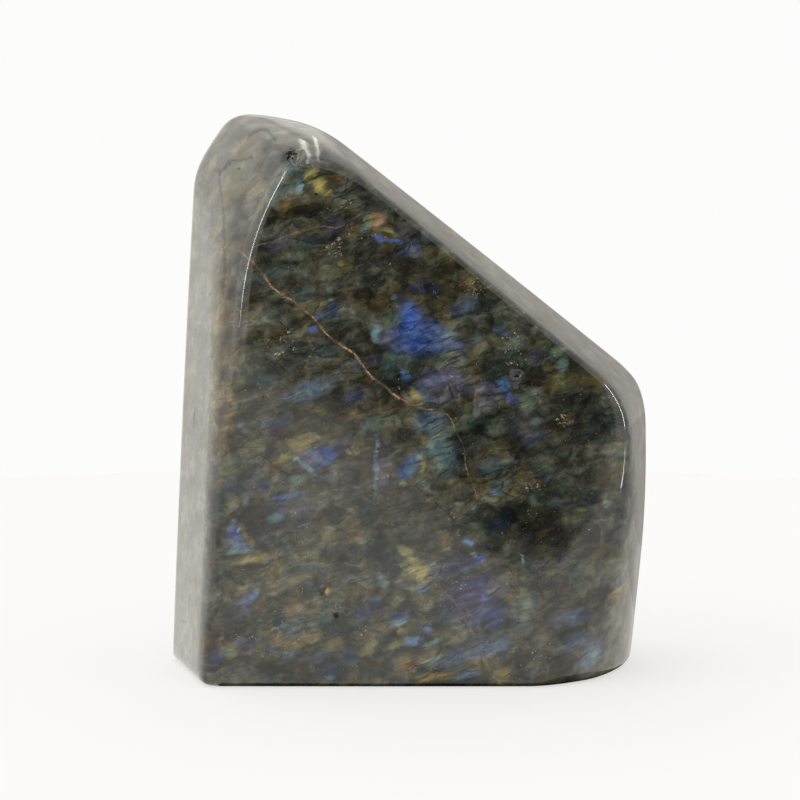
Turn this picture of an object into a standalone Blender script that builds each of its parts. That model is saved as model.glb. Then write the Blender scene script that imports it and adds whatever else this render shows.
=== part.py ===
"""A polished labradorite freeform that stands on its flat ground base.

One solid stone. Its skin is a set of slightly crowned ground faces that run into
each other over polished, rounded edges, plus a few small open pits.
Units are metres, +Z is up. The origin is the centre of the bounding box's
bottom, on the flat base. The polished show face looks along -Y.
"""

from math import cos, radians, sin, tan

import bmesh
import bpy
import numpy as np

# ---------------------------------------------------------------- dimensions
MM = 0.001
CORE_HEIGHT = 72.0        # mm, height of the point the faces are laid out around
FRONT_Y = -24.1           # mm, show face, measured at the core's height
FRONT_LEAN = 4.0          # degrees the show face leans back
BACK_DEPTH = 27.0         # mm, from the core to the back face
BACK_LEAN = 7.0           # degrees the back face leans forward
GIRDLE_Y = 8.0            # mm, where the side faces meet the back bevels
BASE_ROUNDING = 3.0       # mm, rounding of the edge round the base
FRONT_ROUNDING = 2.0      # mm, rounding of the edge round the show face
FOOT_ROUNDING = 8.0      # mm, how much rounder that edge is at the right foot
FOOT_BEGINS = (20.0, 58.0)    # mm, x and z where the rounder part begins
FOOT_FULL = (44.0, 26.0)      # mm, x and z where it is at its roundest
BACK_ROUNDING = 9.0       # mm, rounding of the edge round the back face
FRONT_CROWN = 5.0         # m, radius of the show face's slight crown
BACK_CROWN = 4.0          # m, radius of the back face's slight crown
CROWN_REACH = 0.045       # m from the middle of a face where its crown is zero
BALL_LEVEL = 8            # fineness of the ball the skin is cast from
MAX_TRIANGLES = 8800      # triangles left after the flat areas are thinned out

# Ground faces round the sides. Each row holds:
#   name,
#   facing in degrees seen from the front (0 right, 90 up, 180 left),
#   distance in mm from the core's axis to the face's edge,
#   turn in degrees away from the front (90 is square to it),
#   rounding in mm where it meets the faces above it in the list,
#   crown radius in m, twist in 1/m,
#   depth in mm where that distance holds (None is on the show face).
SIDE_FACES = [
    ("left", 174.7, 50.0, 67.5, 3.0, 6.0, 0.8, None),
    ("left chamfer", 170.6, 47.4, 46.0, 2.0, 4.0, 0.0, None),
    ("left crown", 147.5, 60.0, 47.5, 5.0, 2.5, 0.0, None),
    ("nose", 83.0, 62.3, 50.0, 3.0, 2.5, 0.0, None),
    ("slant", 50.8, 39.8, 78.5, 4.0, 6.0, 0.3, None),
    ("shoulder", 144.0, 88.3, 72.0, 4.0, 3.0, 0.0, GIRDLE_Y),
    ("rim", 80.0, 73.5, 74.0, 5.0, 2.0, 0.0, GIRDLE_Y),
    ("right", 2.0, 57.6, 75.0, 8.0, 6.0, 0.0, None),
    ("right foot", -5.2, 61.3, 76.5, 2.0, 6.0, 0.0, None),
    ("foot corner", -16.2, 62.6, 44.0, 8.0, 6.0, 0.0, None),
    ("back left", 178.2, 66.1, 125.0, 4.0, 6.0, 0.0, GIRDLE_Y),
    ("back crown", 142.0, 91.0, 120.0, 5.0, 3.0, 0.0, GIRDLE_Y),
    ("back top", 79.0, 72.9, 118.0, 6.0, 2.0, 0.0, GIRDLE_Y),
    ("back slant", 52.6, 48.2, 118.0, 5.0, 4.0, 0.0, GIRDLE_Y),
    ("back right", -2.0, 68.3, 122.0, 5.0, 4.0, 0.0, GIRDLE_Y),
]

# Open pits left in the polish. Each row holds the x, y, z in mm of a point near
# the skin, the half length, half width and depth in mm, and the angle in degrees
# of its long side seen from the front.
PITS = [
    (-29.5, -21.0, 139.5, 1.9, 1.3, 0.9, 75.0),
    (28.0, -24.0, 82.5, 1.4, 1.1, 0.5, 20.0),
    (-22.0, -27.5, 27.0, 1.5, 0.8, 0.6, 60.0),
    (-18.8, -28.0, 20.8, 1.2, 0.7, 0.5, -40.0),
]

CORE = np.array([0.0, 0.0, CORE_HEIGHT * MM])


def side_plane(facing, distance, turn, depth):
    """Outward normal, offset from the core and one point of a ground face."""
    facing = radians(facing)
    turn = radians(turn)
    normal = np.array([cos(facing) * sin(turn), -cos(turn), sin(facing) * sin(turn)])
    height = CORE_HEIGHT + distance * sin(facing)
    if depth is None:
        depth = FRONT_Y + (height - CORE_HEIGHT) * tan(radians(FRONT_LEAN))
    point = np.array([distance * cos(facing), depth, height]) * MM
    return normal, float(normal @ (point - CORE)), point


def all_faces():
    """Every ground face in the order it is blended into the body."""
    faces = []
    for _, facing, distance, turn, rounding, crown, twist, depth in SIDE_FACES:
        normal, offset, point = side_plane(facing, distance, turn, depth)
        along = np.array([-sin(radians(facing)), 0.0, cos(radians(facing))])
        faces.append((normal, offset, rounding, crown, twist, along, point))
    nothing = np.zeros(3)
    lean = radians(BACK_LEAN)
    behind = np.array([0.02, cos(lean), sin(lean)])
    faces.append((behind, BACK_DEPTH * MM, BACK_ROUNDING, BACK_CROWN, 0.0, nothing, nothing))
    lean = radians(FRONT_LEAN)
    ahead = np.array([0.0, -cos(lean), sin(lean)])
    offset = -FRONT_Y * MM * cos(lean)
    faces.append((ahead, offset, FRONT_ROUNDING, FRONT_CROWN, 0.0, nothing, nothing))
    down = np.array([0.0, 0.0, -1.0])
    faces.append((down, CORE_HEIGHT * MM, BASE_ROUNDING, None, 0.0, nothing, nothing))
    return faces


def face_value(points, face):
    """Signed distance to one crowned face, and its gradient."""
    normal, offset, _, crown, twist, along, anchor = face
    from_core = points - CORE
    height = from_core @ normal
    value = height - offset
    slope = np.broadcast_to(normal, points.shape).copy()
    if crown is not None:
        sideways = (from_core * from_core).sum(-1) - height * height
        value = value + (sideways - CROWN_REACH ** 2) / (2.0 * crown)
        slope += (from_core - height[..., None] * normal) / crown
    if twist:
        run = (points - anchor) @ along
        back = points[..., 1] - anchor[1]
        value = value + twist * run * back
        slope += twist * back[..., None] * along
        slope[..., 1] += twist * run
    return value, slope


def rounded_max(first, first_slope, second, second_slope, rounding):
    """The larger of two distances with the edge between them rounded over."""
    reach = rounding * MM
    lead = np.clip((first - second) / reach, -1.0, 1.0)
    near = np.maximum(reach - np.abs(first - second), 0.0) / reach
    value = np.maximum(first, second) + near * near * reach / 4.0
    share = (0.5 + 0.5 * lead)[..., None]
    return value, share * first_slope + (1.0 - share) * second_slope


def foot_share(points):
    """0 over most of the stone, 1 at its lower right foot."""
    x_begins, z_begins = FOOT_BEGINS
    x_full, z_full = FOOT_FULL
    across = np.clip((points[..., 0] / MM - x_begins) / (x_full - x_begins), 0.0, 1.0)
    down = np.clip((z_begins - points[..., 2] / MM) / (z_begins - z_full), 0.0, 1.0)
    return across * down * down * (3.0 - 2.0 * down)


def body(points, faces):
    """Distance to the stone's skin (positive outside) and its gradient."""
    value, slope = face_value(points, faces[0])
    show_face = faces[-2]
    for face in faces[1:]:
        other, other_slope = face_value(points, face)
        rounding = face[2]
        if face is show_face:
            rounding = rounding + FOOT_ROUNDING * foot_share(points)
        value, slope = rounded_max(value, slope, other, other_slope, rounding)
    return value, slope


def cast_skin(directions):
    """Where rays from the core leave the stone, and the outward normals there."""
    faces = all_faces()
    reach = np.full(len(directions), 0.125)
    for _ in range(40):
        points = CORE + directions * reach[:, None]
        value, slope = body(points, faces)
        along_ray = (slope * directions).sum(-1)
        reach = reach - value / np.maximum(along_ray, 0.05)
    points = CORE + directions * reach[:, None]
    _, slope = body(points, faces)
    return points, slope / np.linalg.norm(slope, axis=-1, keepdims=True)


def press_pits(points, normals):
    """Press the small open pits into the skin."""
    depth = np.zeros(len(points))
    for x, y, z, half_length, half_width, deep, angle in PITS:
        away = points / MM - np.array([x, y, z])
        turn = radians(angle)
        long_side = away[:, 0] * cos(turn) + away[:, 2] * sin(turn)
        short_side = -away[:, 0] * sin(turn) + away[:, 2] * cos(turn)
        spread = (long_side / half_length) ** 2 + (short_side / half_width) ** 2
        inside = (spread < 1.0) & (np.abs(away[:, 1]) < 6.0)
        bowl = np.where(inside, deep * MM * np.sqrt(np.clip(1.0 - spread, 0.0, 1.0)), 0.0)
        depth = np.maximum(depth, bowl)
    return points - normals * depth[:, None]


def make_material():
    """Dark grey-green feldspar with a glassy polish."""
    material = bpy.data.materials.new("polished labradorite")
    material.use_nodes = True
    shader = material.node_tree.nodes["Principled BSDF"]
    shader.inputs["Base Color"].default_value = (0.060, 0.064, 0.050, 1.0)
    shader.inputs["Metallic"].default_value = 0.0
    shader.inputs["Roughness"].default_value = 0.12
    shader.inputs["IOR"].default_value = 1.56
    return material


def make_stone():
    """Cast the ball onto the faces, thin it out and set it on its base."""
    mesh = bpy.data.meshes.new("labradorite_stone")
    shape = bmesh.new()
    bmesh.ops.create_icosphere(shape, subdivisions=BALL_LEVEL, radius=1.0)
    shape.to_mesh(mesh)
    shape.free()

    count = len(mesh.vertices)
    spots = np.empty(count * 3)
    mesh.vertices.foreach_get("co", spots)
    spots = spots.reshape(-1, 3)
    directions = spots / np.linalg.norm(spots, axis=1, keepdims=True)
    points, normals = cast_skin(directions)
    points = press_pits(points, normals)
    points[points[:, 2] < 2e-6, 2] = 0.0
    middle = (points.min(axis=0) + points.max(axis=0)) / 2.0
    points[:, 0] -= middle[0]
    points[:, 1] -= middle[1]
    mesh.vertices.foreach_set("co", points.ravel())
    mesh.update()

    stone = bpy.data.objects.new("labradorite_stone", mesh)
    bpy.context.scene.collection.objects.link(stone)
    thinner = stone.modifiers.new("thin flat areas", "DECIMATE")
    thinner.decimate_type = "COLLAPSE"
    thinner.ratio = MAX_TRIANGLES / len(mesh.polygons)
    thinner.use_collapse_triangulate = True
    graph = bpy.context.evaluated_depsgraph_get()
    thinned = bpy.data.meshes.new_from_object(stone.evaluated_get(graph))
    stone.modifiers.clear()
    stone.data = thinned
    bpy.data.meshes.remove(mesh)
    thinned.name = "labradorite_stone"
    settle_base(thinned)
    thinned.materials.clear()
    thinned.materials.append(make_material())
    return stone


def settle_base(mesh):
    """Make the base one exact flat face on z = 0 and shade the rest smoothly."""
    shape = bmesh.new()
    shape.from_mesh(mesh)
    for vert in shape.verts:
        if vert.co.z < 5e-6:
            vert.co.z = 0.0
    floor = [face for face in shape.faces if all(vert.co.z == 0.0 for vert in face.verts)]
    bmesh.ops.dissolve_faces(shape, faces=floor, use_verts=False)
    bmesh.ops.recalc_face_normals(shape, faces=shape.faces[:])
    for face in shape.faces:
        face.smooth = any(vert.co.z > 0.0 for vert in face.verts)
    shape.to_mesh(mesh)
    shape.free()
    mesh.update()


for old in list(bpy.data.objects):
    bpy.data.objects.remove(old, do_unlink=True)
make_stone()
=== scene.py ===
"""Looks of a polished labradorite freeform: finely ground skin, crystal colours, studio.

Lengths are in millimetres unless a comment says otherwise; Blender gets metres.
+Z is up and the polished show face looks along -Y.
"""

from math import atan2, cos, hypot, radians, sin, tan
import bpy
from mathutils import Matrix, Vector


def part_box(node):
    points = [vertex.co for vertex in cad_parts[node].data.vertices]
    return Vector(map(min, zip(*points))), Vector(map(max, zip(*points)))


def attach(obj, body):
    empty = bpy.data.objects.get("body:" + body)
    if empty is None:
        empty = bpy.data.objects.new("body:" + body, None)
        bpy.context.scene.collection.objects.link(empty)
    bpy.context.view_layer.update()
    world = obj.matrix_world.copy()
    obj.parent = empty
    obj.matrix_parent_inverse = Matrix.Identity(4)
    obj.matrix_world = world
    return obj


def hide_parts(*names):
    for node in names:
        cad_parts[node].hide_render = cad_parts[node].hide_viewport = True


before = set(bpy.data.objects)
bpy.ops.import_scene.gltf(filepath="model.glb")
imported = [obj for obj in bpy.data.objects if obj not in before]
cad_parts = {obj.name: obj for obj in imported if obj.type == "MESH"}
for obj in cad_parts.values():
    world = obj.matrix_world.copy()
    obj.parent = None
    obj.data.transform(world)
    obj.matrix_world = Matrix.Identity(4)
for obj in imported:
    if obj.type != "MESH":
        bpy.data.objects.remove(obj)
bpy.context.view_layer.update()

from types import SimpleNamespace

import bmesh
import bpy
import numpy as np
from mathutils import Vector

MM = 0.001
NODE = "labradorite_stone"

# ------------------------------------------------------------------ the ground faces
CORE_HEIGHT = 72.0        # height of the point the faces are laid out around
FRONT_Y = -24.1           # show face, measured at the core's height
FRONT_LEAN = 4.0          # degrees the show face leans back
BACK_DEPTH = 27.0         # from the core to the back face
BACK_LEAN = 7.0           # degrees the back face leans forward
GIRDLE_Y = 8.0            # where the side faces meet the back bevels
BASE_ROUNDING = 3.0       # rounding of the edge round the base
FRONT_ROUNDING = 2.0      # rounding of the edge round the show face
FOOT_ROUNDING = 8.0       # how much rounder that edge is at the right foot
FOOT_BEGINS = (20.0, 58.0)    # x and z where the rounder part begins
FOOT_FULL = (44.0, 26.0)      # x and z where it is at its roundest
BACK_ROUNDING = 9.0       # rounding of the edge round the back face
FRONT_CROWN = 5.0         # m, radius of the show face's slight crown
BACK_CROWN = 4.0          # m, radius of the back face's slight crown
CROWN_REACH = 0.045       # m from the middle of a face where its crown is zero
FIRST_REACH = 0.125       # m from the core where each ray's search for the skin starts
SEARCH_STEPS = 16
PIT_REACH = 6.0           # how far through the stone a pit is felt
NOSE_MIDDLE_X = -23.6     # the nose is polished a little rounder than the other faces
NOSE_ROLL = 0.5           # how far its sides fall away
NOSE_HALF_WIDTH = 7.0
BALL_LEVEL = 8            # fineness of the ball the skin is cast from
SKIN_TRIANGLES = 190000   # triangles kept after the flat areas are thinned out

# name, facing (degrees from the front: 0 right, 90 up), distance to the edge, turn away
# from the front in degrees, rounding, crown radius in m, twist in 1/m, depth of the edge
SIDE_FACES = [
    ("left", 174.7, 50.0, 67.5, 3.0, 6.0, 0.8, None),
    ("left chamfer", 170.6, 47.4, 46.0, 2.0, 4.0, 0.0, None),
    ("left crown", 147.5, 60.0, 47.5, 5.0, 2.5, 0.0, None),
    ("nose", 83.0, 62.3, 50.0, 3.0, 2.5, 0.0, None),
    ("slant", 50.8, 39.8, 78.5, 4.0, 6.0, 0.3, None),
    ("shoulder", 144.0, 88.3, 72.0, 4.0, 3.0, 0.0, GIRDLE_Y),
    ("rim", 80.0, 73.5, 74.0, 5.0, 2.0, 0.0, GIRDLE_Y),
    ("right", 2.0, 57.6, 75.0, 8.0, 6.0, 0.0, None),
    ("right foot", -5.2, 61.3, 76.5, 2.0, 6.0, 0.0, None),
    ("foot corner", -16.2, 62.6, 44.0, 8.0, 6.0, 0.0, None),
    ("back left", 178.2, 66.1, 125.0, 4.0, 6.0, 0.0, GIRDLE_Y),
    ("back crown", 142.0, 91.0, 120.0, 5.0, 3.0, 0.0, GIRDLE_Y),
    ("back top", 79.0, 72.9, 118.0, 6.0, 2.0, 0.0, GIRDLE_Y),
    ("back slant", 52.6, 48.2, 118.0, 5.0, 4.0, 0.0, GIRDLE_Y),
    ("back right", -2.0, 68.3, 122.0, 5.0, 4.0, 0.0, GIRDLE_Y),
]

# Open pits left in the polish: x, y, z of a point near the skin, half length,
# half width, depth, and the angle in degrees of the long side seen from the front.
PITS = [
    (-29.5, -21.0, 139.5, 1.9, 1.3, 0.9, 75.0),
    (28.0, -24.0, 82.5, 1.4, 1.1, 0.5, 20.0),
    (-22.0, -27.5, 27.0, 1.5, 0.8, 0.6, 60.0),
    (-18.8, -28.0, 20.8, 1.2, 0.7, 0.5, -40.0),
]

CORE = np.array([0.0, 0.0, CORE_HEIGHT * MM])


def side_plane(facing, distance, turn, depth):
    """Outward normal, offset from the core and one point of a ground face."""
    facing = radians(facing)
    turn = radians(turn)
    normal = np.array([cos(facing) * sin(turn), -cos(turn), sin(facing) * sin(turn)])
    height = CORE_HEIGHT + distance * sin(facing)
    if depth is None:
        depth = FRONT_Y + (height - CORE_HEIGHT) * tan(radians(FRONT_LEAN))
    point = np.array([distance * cos(facing), depth, height]) * MM
    return normal, float(normal @ (point - CORE)), point


def all_faces():
    """Every ground face in the order it is blended into the body."""
    faces = []
    for name, facing, distance, turn, rounding, crown, twist, depth in SIDE_FACES:
        normal, offset, point = side_plane(facing, distance, turn, depth)
        along = np.array([-sin(radians(facing)), 0.0, cos(radians(facing))])
        roll = NOSE_ROLL if name == "nose" else 0.0
        faces.append((normal, offset, rounding, crown, twist, along, point, roll))
    nothing = np.zeros(3)
    lean = radians(BACK_LEAN)
    behind = np.array([0.02, cos(lean), sin(lean)])
    faces.append((behind, BACK_DEPTH * MM, BACK_ROUNDING, BACK_CROWN, 0.0, nothing, nothing, 0.0))
    lean = radians(FRONT_LEAN)
    ahead = np.array([0.0, -cos(lean), sin(lean)])
    offset = -FRONT_Y * MM * cos(lean)
    faces.append((ahead, offset, FRONT_ROUNDING, FRONT_CROWN, 0.0, nothing, nothing, 0.0))
    down = np.array([0.0, 0.0, -1.0])
    faces.append((down, CORE_HEIGHT * MM, BASE_ROUNDING, None, 0.0, nothing, nothing, 0.0))
    return faces


def face_value(points, face):
    """Signed distance to one crowned face, and its gradient."""
    normal, offset, _, crown, twist, along, anchor, roll = face
    from_core = points - CORE
    height = from_core @ normal
    value = height - offset
    slope = np.broadcast_to(normal, points.shape).copy()
    if crown is not None:
        sideways = (from_core * from_core).sum(-1) - height * height
        value = value + (sideways - CROWN_REACH ** 2) / (2.0 * crown)
        slope += (from_core - height[..., None] * normal) / crown
    if twist:
        run = (points - anchor) @ along
        back = points[..., 1] - anchor[1]
        value = value + twist * run * back
        slope += twist * back[..., None] * along
        slope[..., 1] += twist * run
    if roll:
        across = (points[..., 0] / MM - NOSE_MIDDLE_X) / NOSE_HALF_WIDTH
        value = value + roll * MM * across ** 2 / (1.0 + across ** 2)
        slope[..., 0] += 2.0 * roll * across / (NOSE_HALF_WIDTH * (1.0 + across ** 2) ** 2)
    return value, slope


def rounded_max(first, first_slope, second, second_slope, rounding):
    """The larger of two distances with the edge between them rounded over."""
    reach = rounding * MM
    lead = np.clip((first - second) / reach, -1.0, 1.0)
    near = np.maximum(reach - np.abs(first - second), 0.0) / reach
    value = np.maximum(first, second) + near * near * reach / 4.0
    share = (0.5 + 0.5 * lead)[..., None]
    return value, share * first_slope + (1.0 - share) * second_slope


def foot_share(points):
    """0 over most of the stone, 1 at its lower right foot."""
    x_begins, z_begins = FOOT_BEGINS
    x_full, z_full = FOOT_FULL
    across = np.clip((points[..., 0] / MM - x_begins) / (x_full - x_begins), 0.0, 1.0)
    down = np.clip((z_begins - points[..., 2] / MM) / (z_begins - z_full), 0.0, 1.0)
    return across * down * down * (3.0 - 2.0 * down)


def body(points, faces):
    """Distance to the ground skin (positive outside) and its gradient."""
    value, slope = face_value(points, faces[0])
    show_face = faces[-2]
    for face in faces[1:]:
        other, other_slope = face_value(points, face)
        rounding = face[2]
        if face is show_face:
            rounding = rounding + FOOT_ROUNDING * foot_share(points)
        value, slope = rounded_max(value, slope, other, other_slope, rounding)
    return value, slope


def cast_skin(directions):
    """Where rays from the core leave the stone, and the outward normals there."""
    faces = all_faces()
    reach = np.full(len(directions), FIRST_REACH)
    for _ in range(SEARCH_STEPS):
        points = CORE + directions * reach[:, None]
        value, slope = body(points, faces)
        along_ray = (slope * directions).sum(-1)
        reach = reach - value / np.maximum(along_ray, 0.05)
    points = CORE + directions * reach[:, None]
    _, slope = body(points, faces)
    return points, slope / np.linalg.norm(slope, axis=-1, keepdims=True)


def press_pits(points, normals):
    """Press the small open pits into the skin."""
    depth = np.zeros(len(points))
    for x, y, z, half_length, half_width, deep, angle in PITS:
        away = points / MM - np.array([x, y, z])
        turn = radians(angle)
        long_side = away[:, 0] * cos(turn) + away[:, 2] * sin(turn)
        short_side = -away[:, 0] * sin(turn) + away[:, 2] * cos(turn)
        spread = (long_side / half_length) ** 2 + (short_side / half_width) ** 2
        inside = (spread < 1.0) & (np.abs(away[:, 1]) < PIT_REACH)
        bowl = np.where(inside, deep * MM * np.sqrt(np.clip(1.0 - spread, 0.0, 1.0)), 0.0)
        depth = np.maximum(depth, bowl)
    return points - normals * depth[:, None]


def make_stone():
    """The fine skin that stands for the CAD solid, in the same place."""
    mesh = bpy.data.meshes.new("stone_skin")
    shape = bmesh.new()
    bmesh.ops.create_icosphere(shape, subdivisions=BALL_LEVEL, radius=1.0)
    shape.to_mesh(mesh)
    shape.free()
    spots = np.empty(len(mesh.vertices) * 3)
    mesh.vertices.foreach_get("co", spots)
    spots = spots.reshape(-1, 3)
    directions = spots / np.linalg.norm(spots, axis=1, keepdims=True)
    points, normals = cast_skin(directions)
    points = press_pits(points, normals)
    low, high = (np.array(corner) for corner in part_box(NODE))
    shift = (low + high) / 2.0 - (points.min(axis=0) + points.max(axis=0)) / 2.0
    points += shift
    points[:, 2] = np.maximum(points[:, 2], 0.0)
    mesh.vertices.foreach_set("co", points.ravel())
    mesh.update()
    stone = bpy.data.objects.new("stone_skin", mesh)
    bpy.context.scene.collection.objects.link(stone)
    thinner = stone.modifiers.new("thin flat areas", "DECIMATE")
    thinner.decimate_type = "COLLAPSE"
    thinner.ratio = SKIN_TRIANGLES / len(mesh.polygons)
    graph = bpy.context.evaluated_depsgraph_get()
    thinned = bpy.data.meshes.new_from_object(stone.evaluated_get(graph))
    stone.modifiers.clear()
    stone.data = thinned
    bpy.data.meshes.remove(mesh)
    thinned.shade_smooth()
    return stone, shift


# ------------------------------------------------------------------ crystal colours
STREAK_TILT = 17.0        # degrees the crystals' grain climbs to the right
FLASH_Y = -27.0           # depth of the middle of the listed flashes
FLASH_HALF_DEPTH = 26.0
FLASH_MARGIN = 1.40       # the fading rim lies partly outside a flash's own size
FLASH_SOFTNESS = 0.78     # share of a flash's radius over which it fades
STAIN_Y = -20.0
STAIN_HALF_DEPTH = 34.0
STAIN_SOFTNESS = 0.7
FINE_STAIN = 0.6          # stains narrower than this keep close to their line

# Colours of the stone's inner flash in the order thicker layers give them. The flash is a
# sheen that shows at this angle; its colours are the stone's, but it is painted into the
# base colour.
SPECTRUM = [
    (0.00, (0.040, 0.032, 0.085)),     # violet grey
    (0.12, (0.028, 0.026, 0.120)),     # violet
    (0.27, (0.018, 0.060, 0.280)),     # royal blue
    (0.38, (0.040, 0.115, 0.250)),     # azure
    (0.48, (0.050, 0.140, 0.160)),     # teal
    (0.57, (0.090, 0.160, 0.095)),     # green
    (0.66, (0.150, 0.160, 0.045)),     # yellow green
    (0.75, (0.230, 0.185, 0.040)),     # yellow gold
    (0.84, (0.270, 0.160, 0.022)),     # orange gold
    (0.92, (0.175, 0.075, 0.018)),     # orange brown
    (1.00, (0.170, 0.105, 0.070)),     # pink tan
]
PALE_FLASH = (0.20, 0.24, 0.24)
VEIN_RUST = (0.115, 0.066, 0.034)
VEIN_CORE = (0.340, 0.245, 0.165)
# On the faces round the show face the colour is lighter and whiter: partly the stone's cloudy depth,
# partly a painted sheen that these faces show at their angle.
SIDE_LEVEL = 0.55         # tone that the stone evens out to away from its show face
SIDE_TONE = 0.06          # how much lighter it is there
SIDE_WARMTH = 0.03        # how much warmer
SIDE_MILK_AND_SHEEN = (2.50, 2.40, 2.72)    # what its colour is multiplied by there
CRACK_COLOUR = (0.006, 0.007, 0.006)
GRAIN_LINE_COLOUR = (0.010, 0.011, 0.010)
BLACK_ORE = (0.004, 0.004, 0.004)
PORE_SHADE_COLOUR = (0.004, 0.004, 0.004)

# Bright ore, from brown to pale, by the broad streaks it lies in.
BRIGHT_ORE = [
    (0.30, (0.30, 0.19, 0.08)),
    (0.50, (0.36, 0.31, 0.20)),
    (0.65, (0.46, 0.46, 0.41)),
]

# The stone's own colour, from its darkest grains to its milkiest.
GROUND_TONES = [
    (0.00, (0.003, 0.003, 0.003)),
    (0.20, (0.009, 0.009, 0.008)),
    (0.40, (0.022, 0.022, 0.018)),
    (0.60, (0.054, 0.053, 0.043)),
    (0.80, (0.110, 0.108, 0.090)),
    (1.00, (0.200, 0.195, 0.170)),
]

# What the stone's own colour is multiplied by, from cold to rusty crystals.
WARMTHS = [
    (0.00, (0.78, 0.92, 1.45)),        # slate blue
    (0.18, (0.72, 1.02, 1.16)),        # dark teal
    (0.34, (0.84, 1.04, 0.86)),        # green
    (0.48, (1.00, 1.00, 1.00)),        # grey
    (0.62, (1.02, 1.02, 0.74)),        # olive
    (0.82, (1.18, 1.00, 0.62)),        # ochre
    (1.00, (1.55, 0.95, 0.50)),        # rust
]
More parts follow.
